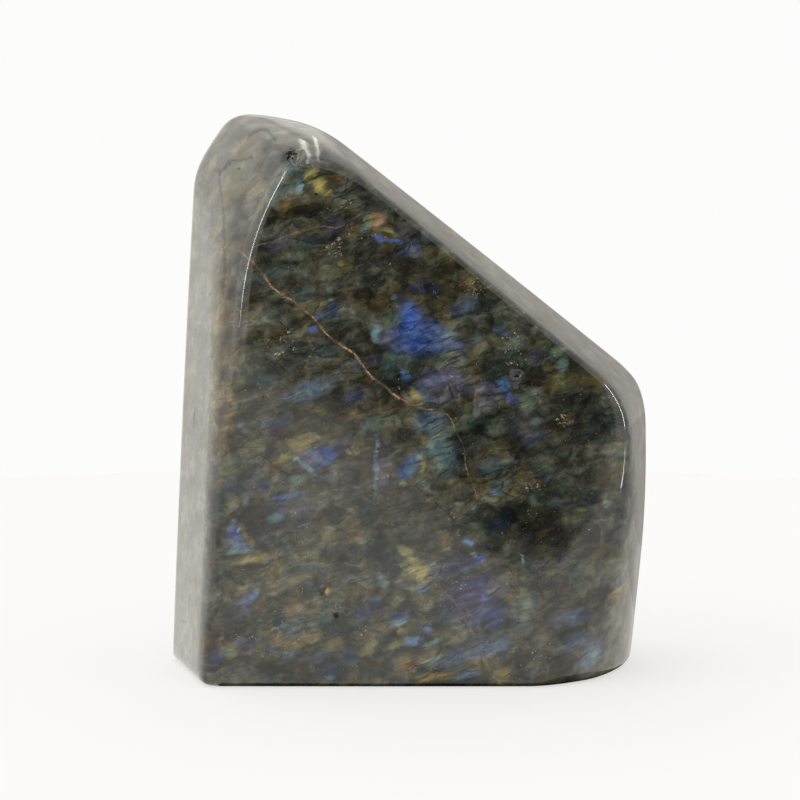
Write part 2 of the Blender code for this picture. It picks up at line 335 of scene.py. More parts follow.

# Flashes with crystal edges on the show face, a sheen painted into the base colour: x, z of
# the middle, half length, half width, tilt in degrees, place in the spectrum, its change
# toward the rim, strength, paleness.
FLASHES = [
    # gold sparks and the light blue drop under the nose
    (-25.6, 135, 2.2, 1.9, 30, 0.71, 0.03, 1, 0.1),
    (-23.6, 132.6, 2.5, 1.9, -50, 0.75, -0.04, 1, 0.1),
    (-21.6, 130.4, 1.3, 0.9, -40, 0.7, 0, 0.85, 0.1),
    (-29.2, 132, 2, 1.2, 80, 0.42, 0.05, 0.95, 0.5),
    # the rainbow eye right of the top
    (-8.2, 122.8, 2.7, 2.4, 20, 0.97, 0.05, 1, 0.1),
    (-11, 121.8, 2.6, 1.2, 70, 0.55, -0.1, 0.7, 0.2),
    (-7.6, 118.2, 1.9, 0.9, -12, 0.27, 0.04, 0.85, 0),
    (-3.9, 117.6, 2, 0.8, -8, 0.3, 0.03, 0.85, 0),
    (-4.5, 119.8, 2, 0.8, -25, 0.56, 0.1, 0.75, 0.2),
    (-3.2, 126, 0.9, 0.6, 10, 0.88, 0, 0.6, 0.1),
    (4.7, 119.7, 1.8, 1.2, 70, 0.49, 0, 0.45, 0.1),
    # sparks on both sides of the long vein
    (-17.9, 111.2, 1.3, 1, 20, 0.85, -0.2, 0.35, 0),
    (-20.5, 102.6, 0.9, 0.8, 0, 0.49, 0, 0.75, 0.2),
    (-3.9, 102.6, 0.8, 0.8, 0, 0.47, 0, 0.75, 0.2),
    (-25.2, 94.9, 1, 0.8, 0, 0.22, 0, 1, 0.1),
    (-23.9, 98.1, 1.7, 1, 20, 0.33, 0, 0.45, 0.1),
    (-8.7, 93.4, 2.1, 1.1, 88, 0.42, 0.04, 0.9, 0.4),
    (-4.5, 92, 3.2, 2.6, 10, 0.06, 0.04, 0.6, 0.2),
    # the royal blue plate in the middle
    (2.6, 92.2, 7.4, 4.9, 6, 0.27, 0.02, 0.6, 0),
    (0.8, 97.4, 4.6, 3.2, 100, 0.27, 0.02, 0.95, 0),
    (7.2, 93.2, 5.2, 3.6, -38, 0.28, 0.02, 0.45, 0),
    (11, 90.4, 4.4, 2, -14, 0.27, 0.04, 0.45, 0),
    (10, 92.6, 2.3, 1.4, 20, 0.35, 0.02, 0.8, 0.3),
    (17.6, 92.3, 2.1, 1.9, 10, 0.49, 0, 0.55, 0.6),
    (6.8, 87.1, 6.8, 1.2, 12, 0.68, 0.05, 0.1, 0.1),
    # right of it, under the slant
    (23.7, 94.7, 1.5, 1.1, -20, 0.45, 0, 0.55, 0.2),
    (25.9, 93.5, 1.6, 1.1, 0, 0.18, 0, 0.35, 0.1),
    (24.6, 80.4, 2.2, 1.5, -70, 0.37, -0.03, 0.65, 0.1),
    (25.9, 77.8, 2.6, 1.1, -65, 0.31, -0.04, 0.55, 0),
    (27.2, 75.8, 1.9, 1.3, -50, 0.2, -0.04, 0.5, 0),
    (20.6, 77.6, 4.4, 3, 15, 0.13, 0.05, 0.35, 0),
    (33.8, 76.2, 1.9, 0.8, -70, 0.57, 0, 0.55, 0.2),
    (31.5, 75.5, 3.6, 2.7, 20, 0.55, 0.03, 0.35, 0.3),
    (39.6, 88.8, 2.2, 1.3, 20, 0.59, -0.03, 0.5, 0.3),
    (40.3, 84.9, 2, 1.7, 60, 0.5, 0, 0.7, 0.3),
    (42.2, 70.6, 2.4, 1.5, 60, 0.98, -0.1, 0.25, 0.1),
    (33.4, 70, 1.9, 1.4, 60, 0.5, 0, 0.35, 0.1),
    # violet plate and its rainbow edge below the royal blue one
    (8.7, 79.7, 6.6, 4.6, 10, 0.12, 0.04, 0.6, 0),
    (11.2, 81.8, 3.4, 1, 12, 0.2, 0, 0.4, 0.5),
    (-1.1, 83.2, 2, 1.4, -55, 0.34, 0.06, 0.7, 0.1),
    (2.2, 77, 2.2, 1.2, -60, 0.5, 0.04, 0.65, 0.1),
    (1.2, 78, 1.5, 0.9, -60, 0.72, 0.04, 0.7, 0.1),
    (1.2, 75.8, 2.8, 1.3, 10, 0.9, -0.03, 0.55, 0),
    (5.8, 70.2, 5.2, 3.2, 10, 0.34, 0.05, 0.3, 0.6),
    # teal plate, wedges and sparks in the middle
    (8.4, 63, 7.6, 4, 100, 0.45, 0.04, 0.5, 0.3),
    (-6.6, 57, 6.5, 1.8, 80, 0.1, 0.05, 0.35, 0.2),
    (-8.6, 59.4, 8.4, 0.7, 88, 0.36, 0.14, 0.8, 0.3),
    (0.3, 58.4, 4.6, 2.1, 52, 0.31, 0.03, 0.65, 0.1),
    (1.9, 59.6, 3.2, 0.7, 66, 0.49, 0.04, 0.9, 0.3),
    (3.7, 59, 2.8, 0.7, 82, 0.64, 0.04, 0.65, 0.2),
    (-1.6, 54.4, 0.9, 0.8, 0, 0.7, 0, 0.75, 0.4),
    (5, 52.9, 3.8, 1, -43, 0.46, 0.05, 0.5, 0.4),
    (13.2, 48.7, 1.3, 0.7, 20, 0.49, 0, 0.6, 0.5),
    (22.4, 58.7, 3.8, 1.9, 17, 0.5, 0.05, 0.3, 0.1),
    (24, 53.9, 3.2, 1.9, 25, 0.5, 0.05, 0.35, 0.1),
    (22.6, 52, 1, 0.8, 0, 0.38, 0, 0.7, 0.1),
    (21.6, 50, 1.6, 0.8, 10, 0.68, 0.05, 0.55, 0.1),
    (37.4, 60.5, 1.8, 0.7, 45, 0.9, 0, 0.3, 0.1),
    (33.8, 54.2, 2, 1.1, 20, 0.94, -0.1, 0.2, 0),
    (32.7, 50, 1.3, 1, 70, 0.48, 0, 0.4, 0.1),
    (52.2, 49.4, 2.4, 0.9, -75, 0.55, 0, 0.45, 0.3),
    (45.2, 46, 3.2, 2.2, 60, 0.68, 0, 0.25, 0),
    # violet triangle with gold beside it, left of the middle
    (-24, 61, 4.8, 2.7, 12, 0.16, 0.05, 0.6, 0.1),
    (-21, 62, 2.4, 2.4, 60, 0.22, 0.06, 0.55, 0.1),
    (-23.8, 58.4, 2.4, 1.7, -40, 0.14, 0.03, 0.35, 0.1),
    (-29.4, 60.8, 1.5, 0.6, -55, 0.52, 0.05, 0.8, 0.3),
    (-26.4, 58, 2.9, 0.6, -38, 0.49, -0.05, 0.8, 0.3),
    (-26.2, 62.8, 3, 0.6, 22, 0.44, -0.05, 0.65, 0.2),
    (-28.2, 65.2, 4.2, 1.9, 22, 0.76, 0.04, 0.45, 0.2),
    (-32.4, 61, 2.2, 1.2, 40, 0.71, 0, 0.4, 0.1),
    (-29.4, 55.1, 2.1, 1.4, 20, 0.52, 0.04, 0.6, 0.2),
    # slate lens and blue marks down the left
    (-30, 47.6, 7.6, 3.3, 12, 0.06, 0.04, 0.4, 0.2),
    (-32, 51, 4.6, 0.7, 13, 0.28, 0.04, 0.6, 0.2),
    (-34.8, 45.2, 2.1, 1.2, 15, 0.47, 0.03, 0.6, 0.2),
    (-27.6, 43.4, 4.2, 0.5, 12, 0.44, 0.03, 0.5, 0.2),
    (-43.4, 49.8, 1.8, 1.3, 90, 0.5, 0, 0.45, 0.5),
    (-46.4, 49, 1.9, 1.6, 90, 0.69, 0, 0.4, 0.3),
    (-46.3, 44, 1.3, 0.8, 20, 0.5, 0, 0.5, 0.2),
    (-46.4, 40.9, 2.3, 1.6, 80, 0.19, 0.05, 0.7, 0),
    (-44.9, 41.7, 0.9, 0.5, 80, 0.48, 0, 1, 0.6),
    (-44.7, 38.1, 3.9, 1.9, 4, 0.3, 0.05, 0.4, 0.3),
    (-44.4, 36, 3.8, 0.7, 6, 0.46, 0.03, 0.7, 0.2),
    (-41.8, 33.9, 6.2, 1.3, 8, 0.7, 0.05, 0.5, 0.2),
    (-43, 40.6, 2.8, 0.8, -58, 0.92, 0, 0.45, 0.1),
    (-44.3, 69.5, 0.9, 0.8, 0, 0.4, 0, 0.7, 0.3),
    (-26, 78.6, 5.4, 3.3, 18, 0.36, 0.04, 0.4, 0.3),
    (-32.6, 77.3, 1.9, 1.4, 10, 0.38, 0, 0.35, 0.2),
    # lower left
    (-42.6, 23.6, 3.2, 1.6, 52, 0.13, 0.1, 0.7, 0.3),
    (-40.8, 24.8, 1.9, 0.7, 60, 0.44, 0.03, 0.7, 0.3),
    (-42, 20.4, 2, 0.7, 25, 0.36, 0, 0.4, 0.1),
    (-30.9, 14.8, 3.4, 1.5, 14, 0.29, 0.04, 0.35, 0),
    (-33.6, 16.2, 2.6, 0.8, 14, 0.4, 0.03, 0.5, 0.1),
    (-31.4, 9.2, 2.3, 1.6, 20, 0.47, 0.05, 0.35, 0.3),
    (-35.8, 10.4, 2.6, 1.8, 40, 0.06, 0.05, 0.25, 0.1),
    (-20.9, 11.2, 2.6, 1.8, 35, 0.76, 0.04, 0.3, 0.2),
    (-22.9, 8.7, 3.5, 1.6, 30, 0.4, 0.05, 0.3, 0.5),
    (-47, 9.4, 2.4, 1.4, 50, 0.56, 0.03, 0.45, 0.4),
    (-49.3, 13.5, 0.9, 0.7, 60, 0.89, 0, 0.6, 0.1),
    (-44.7, 3.4, 3, 1.5, 5, 0.42, 0, 0.2, 0.1),
    (-37.8, 2.6, 4, 1.2, 0, 0.08, 0, 0.15, 0.1),
    (-20.9, 2.8, 1.6, 1, 0, 0.46, 0, 0.5, 0.2),
    # gold plate low in the middle, with its teal and blue edges
    (-0.9, 36, 2.4, 1.4, -38, 0.72, 0.03, 0.7, 0.3),
    (2, 31.6, 4.2, 2.9, -40, 0.77, -0.1, 1, 0.3),
    (-1.6, 31.8, 2.6, 0.8, -65, 0.64, 0, 0.6, 0.3),
    (6.3, 32.2, 1.4, 0.7, 70, 0.51, 0, 0.75, 0.2),
    (1.6, 27, 2.7, 0.7, 15, 0.5, 0, 0.5, 0.2),
    (3.7, 26, 1.8, 0.7, 20, 0.35, 0, 0.65, 0.1),
    (-6.9, 28.7, 2.5, 1.1, -62, 0.47, 0.04, 0.6, 0.4),
    (-8.7, 23.6, 2.5, 1, 20, 0.38, 0, 0.45, 0.2),
    (-2.6, 24, 2.7, 1.7, -80, 0.8, 0, 0.15, 0.2),
    # blue and ochre streaks at the bottom
    (-2.8, 18.4, 3, 1.9, 25, 0.32, 0.04, 0.5, 0.1),
    (-2.5, 16.9, 1.8, 0.9, 20, 0.52, 0.03, 0.95, 0.6),
    (-2.5, 15.2, 1.3, 0.8, 0, 0.82, 0, 0.6, 0.1),
    (4.5, 15.4, 1.6, 1.3, 20, 0.34, 0, 0.9, 0.1),
    (1, 12.4, 2.9, 1.2, 15, 0.33, 0.03, 0.9, 0.1),
    (-0.3, 13.2, 1.1, 0.6, 10, 0.48, 0, 0.8, 0.3),
    (6.3, 12.2, 2.8, 0.8, 22, 0.5, 0, 0.7, 0.5),
    (-3, 11.9, 2.7, 1.4, 18, 0.69, 0.05, 0.45, 0.1),
    (5.8, 7.6, 3.3, 1.1, 16, 0.56, 0, 0.9, 0.4),
    (-0.3, 6.2, 3.6, 2.2, 20, 0.85, 0.03, 0.5, 0.1),
    (6, 2.9, 6.2, 1.2, 5, 0.81, 0.03, 1, 0.1),
    (-10.8, 10.3, 3.1, 1.8, 20, 0.74, 0, 0.4, 0.2),
    # violet band and slate blue field, low on the right
    (12.6, 32.4, 6.5, 2.2, 20, 0.1, 0.03, 0.45, 0.1),
    (18.8, 34, 1.9, 1.1, 30, 0.21, 0, 0.85, 0),
    (16, 38.8, 1.5, 0.9, -40, 0.31, 0, 0.9, 0.1),
    (17, 35.3, 1, 0.6, -40, 0.5, 0, 0.7, 0.5),
    (15.1, 31.3, 1.6, 0.9, 30, 0.45, 0, 0.35, 0.4),
    (17, 24.6, 9, 5, 24, 0.1, 0.04, 0.6, 0.1),
    (20.3, 23.8, 2, 1.4, 16, 0.24, 0.02, 0.85, 0.1),
    (19.6, 19, 6.5, 3, 20, 0.12, 0.04, 0.5, 0.1),
    (22.6, 18.4, 2.4, 2.4, 30, 0.13, 0.03, 0.65, 0.2),
    (16, 9.8, 9.5, 3.2, 20, 0.28, 0.05, 0.35, 0.3),
    (14.9, 3.4, 4.4, 1, 14, 0.4, 0.03, 0.6, 0.3),
    (24.6, 11.2, 3.8, 1.7, 30, 0.3, 0.03, 0.4, 0.5),
    (27.4, 10.4, 1.9, 0.7, 35, 0.66, 0, 0.5, 0.3),
    (25, 4.3, 2.8, 1.6, 35, 0.86, 0.02, 0.4, 0.1),
    # bottom right
    (27.6, 25.8, 0.6, 0.5, 0, 0.9, 0, 0.7, 0.1),
    (30.8, 21, 5.2, 1.5, 95, 0.57, 0, 0.5, 0.5),
    (30.1, 34.7, 1.7, 0.5, -70, 0.49, 0, 1, 0.6),
    (43.8, 18.6, 4.6, 2.4, 16, 0.32, 0.03, 0.3, 0.1),
    (39.2, 16.8, 2.2, 2, 10, 0.08, 0, 0.35, 0.4),
    (44.4, 12, 5.2, 2.3, 20, 0.33, 0.03, 0.35, 0.4),
    (48.6, 7.6, 4.6, 2.7, 64, 0.4, 0.02, 0.75, 0.3),
    (49.4, 6.4, 3.2, 0.7, 62, 0.45, 0, 0.75, 0.5),
    (56.6, 27.6, 2.6, 0.9, 25, 0.42, 0.02, 0.75, 0.3),
    (55.6, 24.6, 1.8, 1, 25, 0.69, 0.03, 0.75, 0.3),
    (54.9, 22.8, 1.5, 1.3, 60, 0.88, 0, 0.45, 0.1),
]

# Soft stains and shadows in the stone: x, z, half length, half width, tilt, change of
# tone, change of warmth.
STAINS = [
    (-3, 112, 36, 22, -30, -0.08, 0.11),     # the dark upper half
    (34, 60, 34, 30, -40, -0.09, 0),       # the dark right half
    (35, 39, 15, 9, 5, -0.26, 0),
    (-26, 4.5, 22, 6, 0, -0.17, 0),
    (-40, 94.4, 7, 16, 0, 0.19, 0.12),
    (-29, 131.5, 6.5, 4.5, 0, 0.18, 0.06),
    (-17, 130, 5.5, 3.5, 0, 0.09, 0),
    (0.5, 115.5, 7, 4, -35, 0.08, 0.05),
    (38.4, 84, 5, 4, 0, 0.2, -0.04),
    (22.6, 68.4, 5, 3, 20, 0.34, -0.12),
    (47, 58, 9, 13, 0, 0.07, 0),
    (-1, 68, 5, 4.5, 0, -0.15, -0.04),
    (7, 21, 4, 2.5, 20, -0.1, 0),
    (31, 20.5, 6, 4, 0, 0.08, 0),
    (20, 88, 12, 8, -20, -0.1, 0),
    (-26, 123.3, 9.5, 4.5, 8, -0.12, 0.02),
    (-3.7, 110.2, 17, 8, -12, -0.1, -0.02),
    (-15, 133.3, 7, 3.6, -18, 0.06, 0.16),
    (-40.6, 93.1, 3.2, 2.9, 0, -0.18, 0.05),
    (28.6, 44.4, 13.5, 7, 8, -0.24, -0.04),
    (22, 37.4, 4.6, 2.6, -25, -0.2, -0.05),
    (21, 29.8, 5.8, 1.5, 12, -0.12, 0.05),
    (54.5, 34.5, 3.6, 2.8, 20, -0.16, 0.12),
    (48.6, 75, 4.6, 4.2, 60, -0.04, 0),
    (34, 84, 9, 6, -30, -0.05, 0.08),
    (28.4, 83.4, 1.8, 1.5, 20, -0.3, 0),
    (-40.5, 110.4, 2.4, 2.1, 20, 0.02, 0.55),
    (-43.7, 115.9, 3.9, 1.3, 0, 0.02, 0.5),
    (-10, 78.6, 5, 3.8, -35, 0.14, 0.32),
    (-32.1, 127.6, 1.8, 1.5, 0, 0.05, 0.5),
    (6.8, 114.9, 2, 1.3, 0, 0.04, 0.45),
    (-34.8, 58.9, 4.2, 2.4, 20, -0.04, 0.34),
    (-33, 25.6, 8.5, 3.8, 10, 0.09, 0.2),
    (-23.6, 16.8, 3.8, 2.6, 0, -0.02, 0.24),
    (-10.2, 6, 4.4, 2.5, 10, -0.02, 0.32),
    (-53.8, 10.4, 3.4, 5.2, 0, 0.04, 0.55),
    (-52, 24, 2.6, 6, 0, 0.05, -0.1),
    (9, 20, 6, 4, 16, -0.12, -0.1),
    (-24.5, 78.9, 1.2, 0.9, 20, -0.25, 0),
    (-27, 31.3, 4.6, 3.6, 0, 0.04, -0.22),
    (42, 53, 5, 2, 12, 0.1, -0.06),
    (36, 36, 8, 5, 30, 0.05, 0.06),
    # tan flakes in a pit, with a painted glint
    (-21.9, 26.3, 1.8, 1.4, 60, 0.3, 0.55),
    (-48.5, 85, 42, 5, 90, 0.1, 0.28),
    (-45.5, 129.5, 6, 4.5, 60, -0.1, 0.12),
    (-36, 138, 5, 4, 0, -0.08, -0.05),
    (-40.5, 128, 3.8, 10, -12, 0.2, 0.1),
    (-37, 146, 6, 2.5, 0, 0.04, -0.16),
    # smoky lines and grains of the crown and the left face
    (-37.8, 142.6, 3.4, 3.2, 0, -0.14, 0),
    (-45.5, 137, 0.5, 0.5, 0, -0.4, 0),
    (-33, 139.8, 1.6, 1.8, 0, -0.22, 0),
    (-32.6, 143.6, 2, 1.4, 0, 0, 0.22),
    (-47.2, 103.8, 2.8, 1.3, 70, -0.3, 0.1),
    (-53.9, 103.4, 0.9, 0.8, 0, -0.2, 0),
    (-58.5, 69.6, 4.2, 0.35, 90, -0.45, 0),
    (-57.8, 68.2, 1.6, 0.35, 80, -0.3, 0),
    (-60.8, 56.2, 1.5, 0.3, 90, -0.4, 0),
    (-62, 13, 2.2, 0.4, 30, -0.25, 0.1),
]

# Veins: half width of the bright core, half width of the rusty halo, strength, and the
# x, z of the points the line passes.
VEINS = [
    (0.16, 0.62, 0.95, [
        (-51.8, 115.2), (-46.6, 115.7), (-42.6, 113.4), (-38.7, 109.4), (-36, 105.7),
        (-29.7, 101.3), (-24.5, 97), (-21.6, 93.3), (-18.1, 90.5), (-15, 88.6),
        (-12.6, 85.7), (-10, 82.3), (-6.6, 79.9), (-3.7, 77.3), (-0.5, 75.5), (3.2, 73.9),
        (8.4, 73.6)]),
    (0.1, 0.4, 0.6, [
        (8.4, 73.6), (11, 71), (12.4, 67.6), (14.5, 63.6), (15, 58.4), (16.6, 54.2),
        (18.1, 50.2)]),
    (0.08, 0.34, 0.45, [
        (-41, 116.2), (-36.6, 117.3), (-31.8, 119.1), (-27.4, 120.5), (-22.9, 121.5),
        (-18.4, 121.2), (-15.5, 123.1), (-12.1, 124.7)]),
    (0.08, 0.22, 0.4, [
        (6.8, 27.9), (10, 25), (13.4, 21), (16, 16.3), (20.5, 11.3)]),
]

# Thin brown lines where the slant band meets the show face: same columns.
SEAMS = [
    (0.09, 0.35, 0.55, [
        (-10.3, 136), (-5, 132.6), (-0.3, 128.6), (8.4, 121.2), (12.9, 118.3),
        (17.4, 115.2), (21.6, 113.4)]),
]

# Smoky lines of the crown and the left face: half width, strength, points.
SMOKE = [
    (0.9, 0.16, [(-51.5, 134.4), (-51.2, 136), (-49.7, 137), (-47.9, 138.6), (-45.5, 139.4),
                 (-41.8, 139.9)]),
    (1.1, 0.18, [(-43.7, 144.6), (-42.9, 146.3), (-41, 147.3), (-38.7, 147.3), (-37.1, 146),
                 (-35, 144)]),
    (0.9, 0.13, [(-51.5, 134.2), (-50.8, 131.2), (-50, 127.3), (-49.4, 122), (-49.2, 116.8),
                 (-49.4, 102.3)]),
]

# Clusters of open pores, painted black as their shade: x, z, half length, half width, tilt,
# and how sparse.
PORES = [
    (-31.4, 140.2, 2.6, 1.9, 50, 0.6),
    (-32, 139.4, 3.4, 2.6, 0, 0.84),
    (28.6, 83, 2.1, 1.7, 20, 0.74),
    (25.6, 87.6, 2.4, 2, 0, 0.86),
    (-24.3, 130.3, 1.4, 0.5, 12, 0.66),
]

# Swarms of bright ore dashes: x, z, half length, half width, tilt, how much richer.
SWARMS = [
    (-20, 116.2, 5, 3.2, 90, 0.22),
    (-16.8, 127.5, 3.6, 2.6, 90, 0.18),
    (18.1, 104.9, 6, 4, -20, 0.22),
    (27, 87.5, 4, 4, 0, 0.2),
    (41.5, 71.5, 4, 3.4, 40, 0.26),
    (33.5, 54.2, 4.4, 3, 30, 0.22),
    (-32, 94, 3, 3.4, 60, 0.3),
    (-33.8, 88.6, 2.4, 0.8, 12, 0.5),
    (-25.9, 88, 2.4, 0.8, -25, 0.5),
    (-27.4, 35, 2.4, 1.8, 20, 0.28),
    # the next two swarms are bright ore and painted glints
    (-18.9, 21.2, 1.6, 1.4, 0, 0.34),
    (-12.2, 15.6, 2.2, 1.8, 50, 0.36),
    (55, 30, 4, 3, 0, -0.2),
]

# ------------------------------------------------------------------ grain of the stone
# Noises: size in mm, or sizes along the crystals' grain, through the stone and across
# the grain; then detail and roughness. The first two also have a reach in mm.
WANDER = (7.0, 2.0, 0.5, 1.0)
RIPPLE = (1.6, 2.0, 0.6, 0.45)
STREAKS = ((7.0, 3.0, 0.55), 3.0, 0.6)
BROAD_STREAKS = ((16.0, 6.0, 1.7), 2.0, 0.5)
WIDE_CLOUDS = (17.0, 2.0, 0.5)
CLOUDS = ((6.0, 5.0, 4.4), 2.0, 0.6)
LUMPS = ((2.6, 2.2, 1.7), 3.0, 0.55)
FINE_GRAIN = (0.7, 2.0, 0.6)
WARM_CLOUDS = ((6.0, 5.0, 4.6), 2.0, 0.6)
WARM_GRAIN = (1.5, 1.0)
CRACK_PATCHES = (12.0, 1.0)
GRAIN_LINES = ((7.0, 5.0, 0.60), 1.0, 0.5)
LINE_PATCHES = (10.0, 1.0)
GRIT = (0.45, 1.0, 0.6)
ORE_THREADS = ((1.9, 1.6, 1.2), 1.0, 0.5)
ORE_CLOUDS = ((7.0, 7.0, 5.0), 2.0, 0.6)
VEIN_SWELL = (1.3, 2.0, 0.7)
VEIN_EBB = (4.5, 1.0)
POLISH_HAZE = (4.0, 2.0, 0.7)
SKIN_RELIEF = (0.9, 3.0, 0.72)

# Crystals and cells: sizes in mm along the grain, through the stone, across the grain.
SPLINTER_SIZE = (3.8, 3.0, 1.9)
PLATE_SIZE = (9.0, 7.0, 5.0)
WILD_FLASH_SIZE = (8.0, 8.0, 4.2)
CRACK_SIZE = (11.0, 9.0, 4.0)
SPECK_SIZE = (2.4, 2.4, 1.9)

# Where a share starts and where it is full; then its two levels, if not 0 and 1.
FRONT_DEPTH = (2.4, 0.5)          # the show face: mm behind it
SIDES_BEGIN = (0.4, 2.6)          # the faces round it: mm behind it
SIDES_END = (50.0, 38.0)
MILK_AND_SHEEN_DEPTH = (0.8, 11.0)
LINE_STARTS = (-0.02, 0.02)       # share of a line's length
LINE_ENDS = (1.01, 0.96)
VEIN_IS_WIDE = (0.34, 0.64)
CORE_IS_WIDE = (0.40, 0.60)
CORE_SHARE = (0.42, 0.56, 0.12, 0.90)
VEIN_SHARE = (0.36, 0.60, 0.35, 1.00)
WILD_CHANCE = (0.55, 0.75)
WILD_EDGE = (0.80, 0.15)
SET_BY_HAND = (0.02, 0.20)        # strength of a flash
FLASH_GAPS = (0.22, 0.54)
CRACK_EDGE = (0.030, 0.006)
CRACKED = (0.47, 0.62)
GRAIN_LINE = (0.42, 0.28)
LINE_SHARE = (0.45, 0.60, 0.10, 0.60)
SPECK_EDGE = (0.22, 0.08)
SPECK_CHANCE = (0.93, 0.96)
ORE_THREAD = (0.055, 0.020)
SWARM_EDGE = (0.0, 0.5)
GRIT_TO_PASS = (0.55, 0.80, 0.74, 0.53)
DASH_EDGE = (-0.02, 0.03)
PORE_EDGE = (0.0, 0.25)

# How strongly each layer swings the tone and the warmth of the ground.
BASE_TONE = 0.30
WIDE_TONE = 0.40
CLOUD_TONE = 0.84
PLATE_TONE = 0.20
SPLINTER_TONE = 0.10
LUMP_TONE = 0.62
STREAK_TONE = 0.18
GRAIN_TONE = 0.22
BASE_WARMTH = -0.12
CLOUD_WARMTH = 1.25
PLATE_WARMTH = 0.30
GRAIN_WARMTH = 0.20

# How things change on the faces round the show face.
CALMER = -0.60            # swing of the fine tone and of the warmth
EVENER = -0.55            # swing of the whole tone in the milky depth
FEWER_FLASHES = -0.90
FEWER_CRACKS = -0.50
FEWER_LINES = -0.80       # in the milky depth
FEWER_DASHES = 0.12       # rise of the level that the grit has to pass

# Wandering coordinates
SOFT_WANDER = (1.5, 1.5, 1.5)     # how much further the soft layers wander
VEIN_RIPPLE = (0.9, 0.9, 0.9)     # share of the ripple that the veins follow

# Flashes
SPLINTER_SNAP = (0.22, 0.22, 0.22)    # how far they follow the crystals' edges
WILD_BEHIND = 0.55        # strength of the wild ones behind the show face
WILD_IN_FRONT = 0.20
WILD_SPECTRUM = 0.85      # share of the spectrum the wild ones use
HUE_SWING = 0.22
PALENESS = 0.60
STREAK_FLASH = 1.2        # how far streaks and lumps change their brightness
LUMP_FLASH = 1.3
STREAK_MIDDLE = -0.30
LEAST_FLASH = 0.15
GROUND_UNDER_FLASH = -0.35    # change of the ground's brightness under a flash

# Cracks, lines, ore, veins and pores
CRACK_SHARE = 0.62
CRACK_TURN = 4.0          # degrees steeper than the grain
GRAIN_LINE_TURN = 8.0
GRAIN_LINE_FLASH = 0.25   # how much stronger the lines are over a flash
SPECK_SHARE = 0.85
DASH_SHARE = 0.65
LEAST_HALO = 0.30         # narrowest halo of a vein, as a share of its widest
HALO_MIDDLE = 0.25        # share of the halo that is fully rusty
LEAST_CORE = 0.25
CORE_EDGES = (1.5, 0.5)   # where the core's colour starts and is full, in core widths
PORE_MOUND = 0.30         # how much denser pores are in the middle of a cluster
PORE_STEP = 0.08
PORE_SHINE = -0.48        # change of the specular level
SHINE = 0.50

# Polish
HAZE = 0.055
HAZE_SWING = 0.05
VEIN_DULL = 0.25
SPECK_DULL = 0.15
PORE_DULL = 0.40
STONE_IOR = 1.56
RELIEF_STRENGTH = 0.14
RELIEF_DEPTH = 0.05


